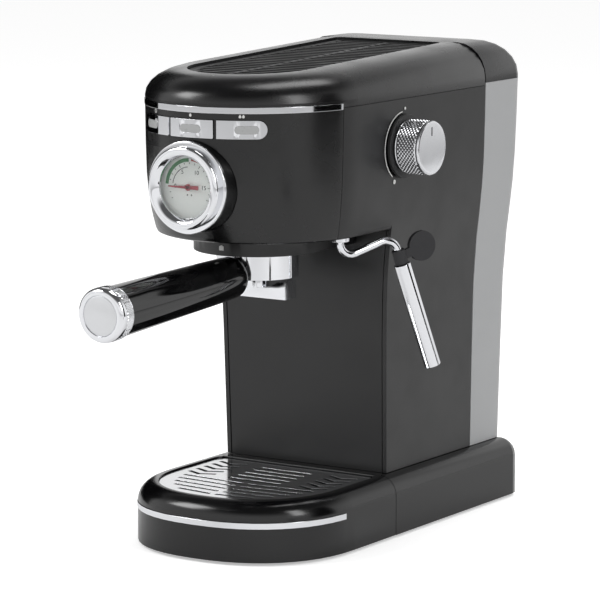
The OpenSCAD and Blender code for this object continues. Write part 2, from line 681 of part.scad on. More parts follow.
module shower_screw() color("#c8c8cc") {
    translate([0, 0, rim_z - 3]) cylinder(r = 4, h = 1.5);
    translate([0, 0, rim_z - 1.6]) cylinder(r = 1.95, h = 12);
}

boiler_r = 31;
boiler_z = head_z + 6;
boiler_h = 36;
bolt_spots = [for (a = [45:90:315]) [34.5 * cos(a), 34.5 * sin(a)]];
module boiler() color("#9c9ca0") difference() {
    union() {
        translate([0, 0, boiler_z]) cylinder(r = ring_r, h = 4);
        translate([0, 0, boiler_z]) cylinder(r = boiler_r, h = boiler_h);
        translate([0, 0, boiler_z + boiler_h]) cylinder(r1 = boiler_r - 2, r2 = boiler_r - 8, h = 4);
        along_front([0, 36, boiler_z + 20]) cylinder(r = 4, h = 8);
    }
    for (p = bolt_spots) translate([p[0], p[1], boiler_z - 1]) cylinder(r = 1.6, h = 8);
    translate([0, 0, boiler_z - 1]) cylinder(r = 2.2, h = 8);
}
module boiler_bolts() color("#8a8a8e") for (p = bolt_spots) translate([p[0], p[1], boiler_z]) {
    translate([0, 0, 4]) cylinder(r = 3, h = 2.5, $fn = 6);
    cylinder(r = 1.5, h = 4.5);
}
boiler_top = boiler_z + boiler_h + 4;
module thermostats() color("#4a4a4c") for (x = [-11, 11]) translate([x, 8, boiler_top]) cylinder(r = 7.5, h = 5);

// ---- Inside the column ----
pump_z = deck_h + 30;
module pump() color("#8c3a2c") translate([0, hose_y, 0]) {
    translate([-20, -20, pump_z]) cube([40, 40, 48]);
    translate([0, 0, pump_z - 28]) cylinder(r = 9, h = 28.5);
    translate([0, 0, pump_z + 47.5]) cylinder(r = 9, h = 24);
}
module pump_mounts() color("#151515") translate([0, hose_y, 0]) {
    tube(14, 9.05, pump_z - 14, 6);
    tube(14, 9.05, pump_z + 58, 6);
}
module pump_bracket() color("#a8a8ac") translate([0, hose_y, 0]) difference() {
    union() {
        translate([-24, 23, deck_h + 0.1]) cube([48, 2, pump_z + 66 - deck_h]);
        translate([-24, -16, pump_z - 16]) cube([48, 40, 1.9]);
        translate([-24, -16, pump_z + 64.1]) cube([48, 40, 1.9]);
        translate([-24, 23, deck_h + 0.1]) cube([48, 12, 2]);
    }
    translate([0, 0, pump_z - 20]) cylinder(r = 9.6, h = 10);
    translate([0, 0, pump_z + 60]) cylinder(r = 9.6, h = 10);
}
module power_board() color("#2f6b46") {
    y = tank_y - bay_t - 0.1 - board_gap;
    translate([-44, y - 1.7, deck_h + 22]) cube([88, 1.6, 86]);
    for (x = [-30, 14]) translate([x, y - 13.6, deck_h + 70]) cube([16, 12, 20]);
    translate([-34, y - 10.6, deck_h + 40]) cube([68, 9, 12]);
}

suction_z = deck_h - 24;
delivery_z = boiler_z + 20;
module hoses() color("#b8b8b4") {
    // From the tank seat under the deck to the pump
    pipe([[0, seat_y, deck_h - 14.2], [0, seat_y, suction_z],
        [0, hose_y, suction_z], [0, hose_y, pump_z - 28.2]], 3.2, [8, 8]);
    // From the pump up to the back of the boiler
    pipe([[0, hose_y, pump_z + 71.7], [0, hose_y, delivery_z], [0, 36.2, delivery_z]], 2.4, [8]);
    // From the steam valve to the wand socket
    pipe([[valve_x - 20, knob_y, knob_z - 14.2], [valve_x - 20, knob_y, pipe_z], [valve_x - 20, socket_y, pipe_z],
        [socket_x, socket_y, pipe_z], [socket_x, socket_y, head_z + 6]], 2.2, [8, 6, 3]);
    // From the boiler to the gauge
    pipe([[0, -boiler_r - 0.2, gauge_z], [0, gauge_face_y + 27.2, gauge_z]], 1.2, []);
}

// ---- Portafilter ----
module portafilter_body() color("#d8d8da") difference() {
    union() {
        translate([0, 0, body_z]) cylinder(r = body_r, h = body_h);
        translate([0, 0, lug_z]) cylinder(r = rim_r, h = rim_z - lug_z);
        for (s = [0, 180]) wedge(s - lug_span / 2 + 2, s + lug_span / 2 - 2, lug_r, lug_z, lug_h);
        along_handle(body_r - 3) cylinder(r = 7, h = 12);
    }
    translate([0, 0, body_z + 3]) cylinder(r = body_r - wall_pf, h = 40);
    translate([0, 0, body_z - 1]) cylinder(r = 5, h = 10);
    along_handle(body_r - 1.2) cylinder(r = bolt_r, h = 20);
}
module filter_basket() color("#c8c8cc") difference() {
    union() {
        translate([0, 0, body_z + 4]) cylinder(r = basket_r, h = rim_z - body_z - 4);
        translate([0, 0, rim_z - 0.7]) translate([0, 0, 0.7]) cylinder(r = rim_r - 1, h = 0.25);
    }
    translate([0, 0, body_z + 4.7]) cylinder(r = basket_r - 0.7, h = 40);
}
spout_x = 25;
spout_z = body_z - 13.5;
module portafilter_spout() color("#d8d8da") difference() {
    union() {
        translate([0, 0, body_z - 8]) cylinder(r = 7.5, h = 7.9);
        translate([0, 6.5, spout_z]) rotate([90, 0, 0]) linear_extrude(13) polygon([
            [-spout_x, 0], [spout_x, 0], [spout_x, 11], [spout_x - 5, 11.2], [14, 8], [6, 6.6],
            [-6, 6.6], [-14, 8], [5 - spout_x, 11.2], [-spout_x, 11]
        ]);
    }
    translate([0, 0, body_z - 7]) cylinder(r = 5, h = 10);
    for (s = [-1, 1]) translate([s * (spout_x - 6), 0, spout_z - 1]) cylinder(r = 4, h = 9);
    translate([6 - spout_x, -4, spout_z + 2]) cube([2 * spout_x - 12, 8, 2.5]);
}

bolt_r = 4;
root_r = 13.4;
module along_handle(s) translate([0, 0, handle_z])
    rotate([90 + handle_droop, 0, 0]) translate([0, 0, s]) children();
module portafilter_handle() color("#161618") along_handle(0) difference() {
    rotate_extrude() polygon(concat(
        [[0, handle_start]],
        [for (a = [0:15:90]) [root_r - 5 + 5 * sin(a), handle_start + 5 - 5 * cos(a)]],
        [for (i = [1:6]) let (u = i / 6)
            [root_r + (cap_r - 1.2 - root_r) * pow(u, 0.8), handle_start + 5 + (handle_l - 5) * u]],
        [[0, handle_start + handle_l]]));
    cylinder(r = bolt_r + 0.02, h = 400);
    cylinder(r = 7.3, h = body_r + 9.5);
    translate([0, 0, handle_start + handle_l - 6]) cylinder(r = 8, h = 20);
}
module handle_cap() color("#d8d8da") along_handle(handle_start + handle_l + 0.2) difference() {
    union() {
        cylinder(r = cap_r, h = cap_l - 2.5);
        translate([0, 0, cap_l - 2.51]) cylinder(r1 = cap_r, r2 = cap_r - 3, h = 2.51);
    }
    translate([0, 0, -1]) cylinder(r = 8, h = 5);
}
module handle_bolt() color("#8a8a8e") {
    along_handle(body_r + 1) cylinder(r = bolt_r - 0.02, h = handle_start + handle_l - body_r - 6.9);
    along_handle(handle_start + handle_l - 6) cylinder(r = 6.5, h = 5, $fn = 6);
}

// ---- Water tank ----
tank_wall = 2.2;
tank_floor = deck_h + 15;
tank_top = seam_z + 1.6;
tank_zs = [for (u = [0, 0.25, 0.45, 0.58, 0.65, 0.72, 0.8, 0.9, 1]) deck_h + 0.3 + u * (tank_top - deck_h - 0.3)];
function tank_back(z) = rear_y - tank_taper * (tank_top - z) / (tank_top - deck_h);
function tank_plan(z, in) = box_plan(side_x(z) - in, tank_y + play + in, tank_back(z) - in, 8 - in);
module water_tank() color([0.6, 0.6, 0.6, 0.6]) moulded() difference() {
    loft([for (z = tank_zs) at_z(tank_plan(z, 0), z)]);
    inner_zs = concat([tank_floor], [for (z = tank_zs) if (z > tank_floor + 5) z], [tank_top + 1]);
    loft([for (z = inner_zs) at_z(tank_plan(z, tank_wall), z)]);
    loft([for (z = [deck_h - 1, tank_floor - tank_wall]) at_z(tank_plan(z, tank_wall), z)]);
    translate([0, seat_y, tank_floor - 10]) cylinder(r = 4, h = 20, $fn = 32);
}
lid_soft = 22;
function lid_plan(h, in) = let (r = in + round_in(h, cap_start, lid_soft, cap_h - cap_start))
    box_plan(head_hw - r, tank_y + play + in, rear_y - r, max(0.5, 8 - in));
function lip_plan(in) = box_plan(side_x(tank_top) - tank_wall - play - in, tank_y + 2 * play + tank_wall + in,
    tank_back(tank_top) - tank_wall - play - in, 5 - in);
module tank_lid() color("#19191b") moulded() {
    z0 = tank_top - seam_z + 0.2;
    hs = concat([z0], [for (h = cap_hs) if (h > z0) h]);
    difference() {
        loft([for (h = hs) at_z(lid_plan(h, 0), seam_z + h)]);
        loft([for (h = hs) at_z(lid_plan(h, 2.5), seam_z + (h == z0 ? h - 1 : h * (1 - 2.5 / cap_h)))]);
    }
    // Lip that sits inside the mouth of the tank
    difference() {
        loft([for (h = [z0 - 5, z0 + 1]) at_z(lip_plan(0), seam_z + h)]);
        loft([for (h = [z0 - 6, z0 + 2]) at_z(lip_plan(2), seam_z + h)]);
    }
}

base_shell();
base_plate();
base_screws();
feet();
cord_gland();
drip_tray();
base_trim();
drip_plate();
column_front();
side_panel_left();
side_panel_right();
tank_bay();
tank_seat();
head_front();
group_cover();
top_cap();
cup_tray();
head_trim();
key(-1);  // key_power
key(0);  // key_single
key(1);  // key_double
lens(-1);  // lens_power
lens(0);  // lens_single
lens(1);  // lens_double
switch_carrier();
key_switches();
gauge_housing();
gauge_flange();
gauge_bezel();
gauge_dial();
gauge_needle();
gauge_glass();
knob_collar();
steam_knob();
steam_valve();
valve_stem();
wand_socket();
steam_tube();
steam_grip();
frother_sleeve();
group_head();
group_gasket();
shower_screen();
shower_screw();
boiler();
boiler_bolts();
thermostats();
pump();
pump_mounts();
pump_bracket();
power_board();
hoses();
portafilter_body();
filter_basket();
portafilter_spout();
portafilter_handle();
handle_cap();
handle_bolt();
water_tank();
tank_lid();
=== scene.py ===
"""The looks of a slim home espresso machine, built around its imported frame."""

import math

import bmesh
import bpy
from mathutils import Matrix, Vector
from mathutils.bvhtree import BVHTree


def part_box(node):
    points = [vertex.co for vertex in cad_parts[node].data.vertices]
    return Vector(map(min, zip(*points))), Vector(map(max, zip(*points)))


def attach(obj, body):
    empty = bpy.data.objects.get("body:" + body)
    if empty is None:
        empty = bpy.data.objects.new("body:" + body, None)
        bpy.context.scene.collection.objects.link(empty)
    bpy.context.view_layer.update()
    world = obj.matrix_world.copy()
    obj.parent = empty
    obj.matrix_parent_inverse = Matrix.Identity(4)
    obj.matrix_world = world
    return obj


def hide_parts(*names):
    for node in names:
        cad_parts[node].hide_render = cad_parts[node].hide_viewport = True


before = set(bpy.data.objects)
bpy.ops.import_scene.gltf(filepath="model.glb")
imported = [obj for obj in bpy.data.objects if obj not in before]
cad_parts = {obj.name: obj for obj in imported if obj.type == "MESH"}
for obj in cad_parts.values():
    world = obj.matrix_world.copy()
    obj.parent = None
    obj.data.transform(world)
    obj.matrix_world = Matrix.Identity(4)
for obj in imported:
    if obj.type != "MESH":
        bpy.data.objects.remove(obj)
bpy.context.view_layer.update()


# ---- Camera ----
# A long lens to the right of the front and above the machine, looking a little down, and far
# enough away that upright edges stay nearly parallel.
camera = bpy.data.objects.new("camera", bpy.data.cameras.new("camera"))
bpy.context.scene.collection.objects.link(camera)
camera.location = (1.2198, -1.8271, 0.5043)
camera.rotation_euler = (math.radians(80.982), 0, math.radians(33.025))
camera.data.sensor_width = 36
camera.data.lens = 209.55
camera.data.clip_start = 0.1
camera.data.clip_end = 30
bpy.context.scene.camera = camera
bpy.context.scene.view_settings.view_transform = "Standard"


# ---- Studio ----
# A white floor in a white room. Glossy rays meet a band of white at the height of the machine
# under a darker ceiling, and dark cards draw the long soft edges on chrome and black plastic.
def linear(code):
    """The linear colour of an sRGB hex value."""
    parts = [int(code[i:i + 2], 16) / 255 for i in (1, 3, 5)]
    return (*[p / 12.92 if p <= 0.04045 else ((p + 0.055) / 1.055) ** 2.4 for p in parts], 1)


def add_node(owner, kind, settings=None, links=None):
    """Adds a shader node to a material or world, sets its sockets and options, and links its inputs."""
    node = owner.node_tree.nodes.new(kind)
    for key, value in (settings or {}).items():
        if isinstance(key, int) or key in node.inputs:
            node.inputs[key].default_value = value
        else:
            setattr(node, key, value)
    for socket, source in (links or {}).items():
        owner.node_tree.links.new(source, node.inputs[socket])
    return node


ROOM_WHITE = 1.0
ROOM_DIFFUSE = 0.55
CEILING = 0.10
BAND_TOP = 0.30          # the sine of a ray's slope where the white band starts to fade
CEILING_START = 0.75     # and where the ceiling is fully dark
world = bpy.data.worlds.new("studio")
world.use_nodes = True
world.node_tree.nodes.clear()
bpy.context.scene.world = world
ray = add_node(world, "ShaderNodeLightPath")
direction = add_node(world, "ShaderNodeTexCoord").outputs["Generated"]
height = add_node(world, "ShaderNodeSeparateXYZ", links={0: direction}).outputs["Z"]
falloff = add_node(
    world, "ShaderNodeMapRange",
    {"From Min": BAND_TOP, "From Max": CEILING_START, "To Min": ROOM_WHITE, "To Max": CEILING,
     "interpolation_type": "SMOOTHSTEP"}, {"Value": height})
glossy_room = add_node(world, "ShaderNodeBackground", links={"Strength": falloff.outputs[0]})
diffuse_room = add_node(world, "ShaderNodeBackground", {"Strength": ROOM_DIFFUSE})
white_room = add_node(world, "ShaderNodeBackground", {"Strength": ROOM_WHITE})
for room in (glossy_room, diffuse_room, white_room):
    room.inputs["Color"].default_value = linear("#ffffff")
lit = add_node(world, "ShaderNodeMixShader", links={
    0: ray.outputs["Is Glossy Ray"], 1: diffuse_room.outputs[0], 2: glossy_room.outputs[0]})
seen = add_node(world, "ShaderNodeMath", {"operation": "MAXIMUM"}, {
    0: ray.outputs["Is Camera Ray"], 1: ray.outputs["Is Transmission Ray"]})
shown = add_node(world, "ShaderNodeMixShader", links={
    0: seen.outputs[0], 1: lit.outputs[0], 2: white_room.outputs[0]})
add_node(world, "ShaderNodeOutputWorld", links={"Surface": shown.outputs[0]})


def new_object(name, bm, material):
    """A mesh object at the origin from a bmesh, which is freed."""
    mesh = bpy.data.meshes.new(name)
    bm.to_mesh(mesh)
    bm.free()
    made = bpy.data.objects.new(name, mesh)
    bpy.context.scene.collection.objects.link(made)
    mesh.materials.append(material)
    return made


def blank_material(name):
    """A material with an empty node tree."""
    material = bpy.data.materials.new(name)
    material.use_nodes = True
    material.node_tree.nodes.clear()
    return material


# Black flocked card takes up almost all the light that falls on it
black_flock = blank_material("black_flocked_card")
dull = add_node(black_flock, "ShaderNodeBsdfDiffuse", {"Color": linear("#050505")})
add_node(black_flock, "ShaderNodeOutputMaterial", links={"Surface": dull.outputs[0]})


def card(name, width, tall, azimuth, distance, middle):
    """A flat upright card that faces the machine, off to one side, which only reflections see."""
    bm = bmesh.new()
    bmesh.ops.create_grid(bm, x_segments=1, y_segments=1, size=0.5)
    bmesh.ops.scale(bm, vec=(width, tall, 1), verts=bm.verts)
    # Azimuth 0 stands in front of the machine, and 90 to its right
    turn = Matrix.Rotation(math.radians(azimuth), 4, "Z") @ Matrix.Rotation(math.radians(90), 4, "X")
    turned = Matrix.Translation(turn @ Vector((0, middle, distance))) @ turn
    bmesh.ops.transform(bm, matrix=turned, verts=bm.verts)
    made = new_object(name, bm, black_flock)
    made.visible_camera = False
    made.visible_diffuse = False
    made.visible_shadow = False
    made.visible_transmission = False


card("card_right", 0.8, 1.8, 108, 1.5, 0.3)
card("card_left", 1.5, 1.8, -112, 1.5, 0.3)
card("card_low", 0.06, 0.085, 68, 0.7, 0.0425)

# The paper is lifted towards white for the camera only, so it keeps the machine's shadow
FLOOR_LIFT = 0.45
FLOOR_REACH = 6
white_paper = blank_material("white_paper_sweep")
paper = add_node(white_paper, "ShaderNodeBsdfDiffuse", {"Color": linear("#f4f4f4")})
camera_ray = add_node(white_paper, "ShaderNodeLightPath").outputs["Is Camera Ray"]
lift = add_node(white_paper, "ShaderNodeMath", {"operation": "MULTIPLY", 1: FLOOR_LIFT}, {0: camera_ray})
glow = add_node(white_paper, "ShaderNodeEmission", links={"Strength": lift.outputs[0]})
both = add_node(white_paper, "ShaderNodeAddShader", links={0: paper.outputs[0], 1: glow.outputs[0]})
add_node(white_paper, "ShaderNodeOutputMaterial", links={"Surface": both.outputs[0]})
bm = bmesh.new()
bmesh.ops.create_grid(bm, x_segments=1, y_segments=1, size=FLOOR_REACH)
new_object("floor", bm, white_paper)


def softbox(name, place, aim, width, tall, watts):
    """A rectangular soft lamp that points at a place."""
    lamp = bpy.data.lights.new(name, "AREA")
    lamp.shape = "RECTANGLE"
    lamp.size = width
    lamp.size_y = tall
    lamp.energy = watts
    made = bpy.data.objects.new(name, lamp)
    made.location = place
    made.rotation_euler = (Vector(aim) - Vector(place)).to_track_quat("-Z", "Y").to_euler()
    bpy.context.scene.collection.objects.link(made)


softbox("softbox_left", (-1.5, -1.2, 1.7), (0, 0.05, 0.2), 0.9, 0.9, 22)
softbox("softbox_right", (1.9, -0.3, 1.3), (0, 0.05, 0.2), 0.5, 1.2, 12)
softbox("softbox_top", (0.1, 0.7, 2.0), (0, 0.05, 0.3), 0.6, 1.2, 10)


# ---- Base shell ----
# The rear half of the base, injection moulded in black ABS and polished in the mould. It carries
# the column and is closed below by a plain plate that is screwed on.
MM = 0.001
WELD = 0.002 * MM     # points closer than this become one
FLAT = 0.4            # degrees: packed triangles that turn less than this are one face
CREASE = 32           # degrees: edges that turn more than this stay crisp


def made_of(name, colour, shader, gloss, relief=None):
    """A material for one finish. Gloss is its roughness, how far that drifts, and over how many
    millimetres. Relief is the width and depth, in millimetres, of an even texture."""
    material = blank_material(name)
    surface = add_node(material, "ShaderNodeBsdfPrincipled", {"Base Color": linear(colour), **shader})
    add_node(material, "ShaderNodeOutputMaterial", links={"Surface": surface.outputs[0]})
    place = add_node(material, "ShaderNodeTexCoord").outputs["Object"]
    roughness, drift, patch_mm = gloss
    cloud = add_node(
        material, "ShaderNodeTexNoise", {"Scale": 1 / (patch_mm * MM), "Detail": 3}, {"Vector": place})
    level = add_node(
        material, "ShaderNodeMapRange",
        {"From Min": 0.3, "From Max": 0.7, "To Min": roughness - drift, "To Max": roughness + drift},
        {"Value": cloud.outputs["Fac"]})
    material.node_tree.links.new(level.outputs[0], surface.inputs["Roughness"])
    if relief:
        grain_mm, depth_mm = relief
        grain = add_node(
            material, "ShaderNodeTexNoise", {"Scale": 1 / (grain_mm * MM), "Detail": 1}, {"Vector": place})
        bump = add_node(
            material, "ShaderNodeBump", {"Strength": 1.0, "Distance": depth_mm * MM},
            {"Height": grain.outputs["Fac"]})
        material.node_tree.links.new(bump.outputs[0], surface.inputs["Normal"])
    return material


def black_abs(name, colour, roughness, grain_mm, depth_mm):
    """Moulded ABS: a near-black body colour under a skin that takes its gloss from the mould."""
    return made_of(name, colour, {"IOR": 1.53}, (roughness, roughness * 0.16, 24), (grain_mm, depth_mm))


def refined(name, node, material, body, edge_mm, steps=2):
    """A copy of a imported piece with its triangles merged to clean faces, smooth shading and rounded edges."""
    bm = bmesh.new()
    bm.from_mesh(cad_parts[node].data)
    bmesh.ops.remove_doubles(bm, verts=bm.verts, dist=WELD)
    bmesh.ops.dissolve_limit(bm, angle_limit=math.radians(FLAT), verts=bm.verts, edges=bm.edges)
    made = new_object(name, bm, material)
    made.data.shade_smooth()
    made.data.set_sharp_from_angle(angle=math.radians(CREASE))
    if edge_mm:
        rounding = made.modifiers.new("edge_rounding", "BEVEL")
        rounding.width = edge_mm * MM
        rounding.segments = steps
        rounding.limit_method = "ANGLE"
        rounding.angle_limit = math.radians(CREASE)
        rounding.harden_normals = True
    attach(made, body)
    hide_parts(node)
    return made


def finish_node(material, *nodes):
    """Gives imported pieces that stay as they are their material."""
    for node in nodes:
        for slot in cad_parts[node].material_slots:
            slot.material = material


# Polished ABS shows soft-edged reflections of the room
polished_abs = black_abs("polished_black_abs", "#050506", 0.20, 3.0, 0.006)
refined("rear_base", "base_shell", polished_abs, "machine", 0.5)

# ---- Base plate, feet and cord gland ----
# Underneath are a plain moulded plate, steel screws and soft rubber feet. The gland at the
# rear is a rubber bush with an open bore for a cord.
# ABS from a plain textured mould is dull and a shade greyer
plain_abs = black_abs("plain_black_abs", "#161617", 0.52, 0.9, 0.02)
finish_node(plain_abs, "base_plate")
# Nitrile rubber is matt, with a fine even skin
rubber = made_of("black_nitrile_rubber", "#111111", {"IOR": 1.5}, (0.72, 0.08, 9), (0.7, 0.03))
finish_node(rubber, "feet", "cord_gland")
# Bright zinc plating is a soft grey metal, a little uneven
METAL = {"Metallic": 1.0}
zinc_steel = made_of("zinc_plated_steel", "#b9bcc0", METAL, (0.34, 0.08, 2))
finish_node(zinc_steel, "base_screws")

# ---- Drip tray ----
# The front half of the base slides out as one moulded tray, and a chrome strip is let into
# its side round the front.
refined("drip_tray_shell", "drip_tray", polished_abs, "tray", 0.5)
# Bright nickel and chrome over ABS: almost a mirror, a little cloudy where the plating is uneven
chrome = made_of("chrome_plate", "#e6e7ea", METAL, (0.07, 0.025, 14), (8, 0.004))
refined("base_strip", "base_trim", chrome, "tray", 0.25)

# ---- Drip plate ----
# A pressed stainless plate with rows of long slots. It lies loose in a step of the tray and
# lifts out.
# Pressing leaves stainless bright, with slow waves in what it mirrors
pressed_steel = made_of("pressed_stainless", "#d9dadc", METAL, (0.14, 0.04, 18), (12, 0.02))
refined("drip_grid", "drip_plate", pressed_steel, "plate", 0.35)

# ---- Column ----
# Two side panels run from the base up into the head, with a flat front panel let in between
# them. All are moulded ABS.
# A spark-eroded mould leaves ABS satin. Its grain is drawn coarser than the real one, to show
satin_abs = black_abs("satin_black_abs", "#060607", 0.36, 0.5, 0.008)
for side in ("left", "right"):
    refined(f"side_skin_{side}", f"side_panel_{side}", satin_abs, "machine", 0.5)
refined("column_panel", "column_front", satin_abs, "machine", 0)

# ---- Head ----
# The curved front shell of the head has round and long openings for the gauge and keys,
# and its lower cover ends in a U-shaped collar round the brew group.
# A finely blasted mould leaves ABS between gloss and satin
head_abs = black_abs("silk_black_abs", "#050506", 0.26, 0.6, 0.006)
head_skin = refined("head_skin", "head_front", head_abs, "machine", 0.4)
collar_skin = refined("group_collar", "group_cover", satin_abs, "machine", 0.6)
refined("head_strip", "head_trim", chrome, "machine", 0.25)

# ---- Top cap and cup tray ----
# The cap is one domed moulding with a long recess, and a ribbed grille for cups drops into
# it. Both are black ABS.
refined("top_shell", "top_cap", head_abs, "machine", 0.6)
refined("cup_grille", "cup_tray", plain_abs, "machine", 0.6)

# ---- Keys ----
# Three chromed keys share one slot in the head and press on switches that a carrier holds
# behind them. Each has a smoked lens for a lamp.
# Smoked polycarbonate is an even grey with a hard clear skin
lens_plastic = made_of(
    "smoked_lens_polycarbonate", "#a9aaaa", {"IOR": 1.58, "Coat Weight": 0.4}, (0.3, 0.05, 5))
for key in ("power", "single", "double"):
    refined(f"{key}_key_cap", f"key_{key}", chrome, f"{key}_key", 0.5, steps=3)
    refined(f"{key}_key_lens", f"lens_{key}", lens_plastic, f"{key}_key", 0.3)
finish_node(plain_abs, "switch_carrier", "key_switches")


# ---- Gauge ----
# A dial gauge in a black boss: a chromed flange, a rounded chrome bezel, a slightly domed
# glass, a printed white dial with coloured arcs, and a red pointer.
def lathe(bm, outline, steps=96):
    """Spins an outline of (radius, height) points round the local Z axis to a closed form."""
    points = [bm.verts.new((r, 0, z)) for r, z in outline]
    lines = [bm.edges.new(pair) for pair in zip(points, points[1:])]
    bmesh.ops.spin(
        bm, geom=points + lines, cent=(0, 0, 0), axis=(0, 0, 1), angle=math.tau, steps=steps, use_merge=True)
    bmesh.ops.remove_doubles(bm, verts=bm.verts, dist=WELD)
    bmesh.ops.recalc_face_normals(bm, faces=bm.faces)


def bend(centre, radius, start, end, steps=6):
    """Points of a round stretch of an outline, from one angle to another in degrees."""
    angles = [math.radians(start + (end - start) * i / steps) for i in range(steps + 1)]
    return [(centre[0] + radius * math.cos(a), centre[1] + radius * math.sin(a)) for a in angles]


def piece(name, bm, matrix, material, body, nodes=(), crease=CREASE):
    """Puts a bmesh in its place and makes it a smooth piece that rides on a body."""
    bmesh.ops.transform(bm, matrix=matrix, verts=bm.verts)
    made = new_object(name, bm, material)
    made.data.shade_smooth()
    made.data.set_sharp_from_angle(angle=math.radians(crease))
    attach(made, body)
    if nodes:
        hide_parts(*nodes)


def middle_of(node):
    """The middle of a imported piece's box."""
    low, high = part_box(node)
    return (low + high) / 2


def radius_of(node):
    """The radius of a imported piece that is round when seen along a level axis."""
    low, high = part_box(node)
    return (high.z - low.z) / 2


TO_FRONT = Matrix.Rotation(math.radians(90), 4, "X")     # local Z to -Y, local Y to +Z
gauge_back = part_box("gauge_flange")[1].y
flange_r = radius_of("gauge_flange")
gauge_at = Matrix.Translation((0, gauge_back, middle_of("gauge_flange").z)) @ TO_FRONT
refined("gauge_boss", "gauge_housing", head_abs, "machine", 0.4)

# The flange is a thin turned ring, and the bezel a thick one with a full round
FLANGE_THICK = 2 * MM
FLANGE_EDGE = 0.6 * MM
BEZEL_INSET = 2.8 * MM
BEZEL_ROLL = 2.4 * MM
BEZEL_LIP = 1.2 * MM
SINK = 0.1 * MM       # how far the bezel is let into the flange
bore_r = 20.2 * MM
bezel_r = flange_r - BEZEL_INSET
bezel_tall = gauge_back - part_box("gauge_bezel")[0].y
flange_edge = bend((flange_r - FLANGE_EDGE, FLANGE_THICK - FLANGE_EDGE), FLANGE_EDGE, 0, 90)
bm = bmesh.new()
lathe(bm, [(bore_r, 0), (flange_r, 0), *flange_edge, (bezel_r - MM, FLANGE_THICK),
           (bore_r, FLANGE_THICK), (bore_r, 0)])
piece("gauge_ring", bm, gauge_at, chrome, "machine", ["gauge_flange"])
bezel_foot = FLANGE_THICK - SINK
bezel_round = bend((bezel_r - BEZEL_ROLL, bezel_tall - BEZEL_ROLL), BEZEL_ROLL, 0, 100, 9)
bezel_slope = [(bore_r + side * BEZEL_LIP, bezel_tall - drop * MM)
               for side, drop in ((1, 0.5), (0, 1.6), (-1, 3.4))]
bm = bmesh.new()
lathe(bm, [(bore_r, bezel_foot), (bezel_r, bezel_foot), *bezel_round, *bezel_slope,
           (bore_r - BEZEL_LIP, bezel_foot), (bore_r, bezel_foot)])
piece("gauge_bezel_ring", bm, gauge_at, chrome, "machine", ["gauge_bezel"])

# Float glass: clear, with only its reflections to show it
glass = made_of(
    "clear_float_glass", "#fbfdfc", {"Transmission Weight": 1.0, "IOR": 1.45}, (0.012, 0.006, 10))
GLASS_LAP = 0.4 * MM      # how far the glass reaches under the bezel's lip
GLASS_BACK = 2.6 * MM
GLASS_RIM = 0.6 * MM
GLASS_DOME = 0.5 * MM
glass_r = bore_r - BEZEL_LIP + GLASS_LAP
glass_front = GLASS_BACK + GLASS_RIM
bm = bmesh.new()
lathe(bm, [(0, GLASS_BACK), (glass_r, GLASS_BACK), (glass_r, glass_front),
           (glass_r * 0.7, glass_front + GLASS_DOME * 0.6), (0, glass_front + GLASS_DOME)])
piece("gauge_window", bm, gauge_at, glass, "machine", ["gauge_glass"])

# The dial is a stamped disc printed an even white, with raised ink for its arcs and marks
dial_face = made_of("printed_white_dial", "#fbfcfa", {"IOR": 1.5}, (0.42, 0.06, 6))
DIAL_THICK = 1.2 * MM
DIAL_BORE = 1.1 * MM
dial_r = radius_of("gauge_dial")
dial_z = gauge_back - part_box("gauge_dial")[0].y
dial_back = dial_z - DIAL_THICK
bm = bmesh.new()
lathe(bm, [(DIAL_BORE, dial_back), (dial_r, dial_back), (dial_r, dial_z), (DIAL_BORE, dial_z),
           (DIAL_BORE, dial_back)])
piece("dial_disc", bm, gauge_at, dial_face, "machine", ["gauge_dial"])


def ink(name, colour):
    """Pad-printed ink, dry and even, with a slightly open surface."""
    return made_of(name, colour, {"IOR": 1.5}, (0.5, 0.06, 3))


INK_THICK = 0.12 * MM
ARC_STEP = 4     # degrees that one flat stretch of an arc covers


def flat_arc(bm, inner, outer, start, end, level, thick=INK_THICK):
    """A flat band round the local Z axis between two angles in degrees, with a little thickness."""
    first = [bm.verts.new((r * math.cos(math.radians(start)), r * math.sin(math.radians(start)), level))
             for r in (inner, outer)]
    line = bm.edges.new(first)
    steps = max(2, int(abs(end - start) / ARC_STEP))
    bmesh.ops.spin(
        bm, geom=first + [line], cent=(0, 0, 0), axis=(0, 0, 1), angle=math.radians(end - start), steps=steps)
    grown = bmesh.ops.extrude_face_region(bm, geom=[f for f in bm.faces if f.is_valid and not f.tag])
    bmesh.ops.translate(
        bm, vec=(0, 0, thick), verts=[g for g in grown["geom"] if isinstance(g, bmesh.types.BMVert)])
    for face in bm.faces:
        face.tag = True
    bmesh.ops.recalc_face_normals(bm, faces=bm.faces)


green_ink = ink("green_ink", "#3f8a55")
red_ink = ink("red_ink", "#b23a3e")
black_ink = ink("black_ink", "#2c2c2e")
# Each arc has its ink, its inner and outer radius in millimetres, and its two ends in degrees
ARCS = {"green_arc": (green_ink, 15.6, 17.8, 92, 176), "red_arc": (red_ink, 16.2, 17.6, -30, 86),
        "grey_arc": (black_ink, 12.2, 12.6, 96, 172)}
for name, (material, inner, outer, start, end) in ARCS.items():
    bm = bmesh.new()
    flat_arc(bm, inner * MM, outer * MM, start, end, dial_z)
    piece(name, bm, gauge_at, material, "machine")

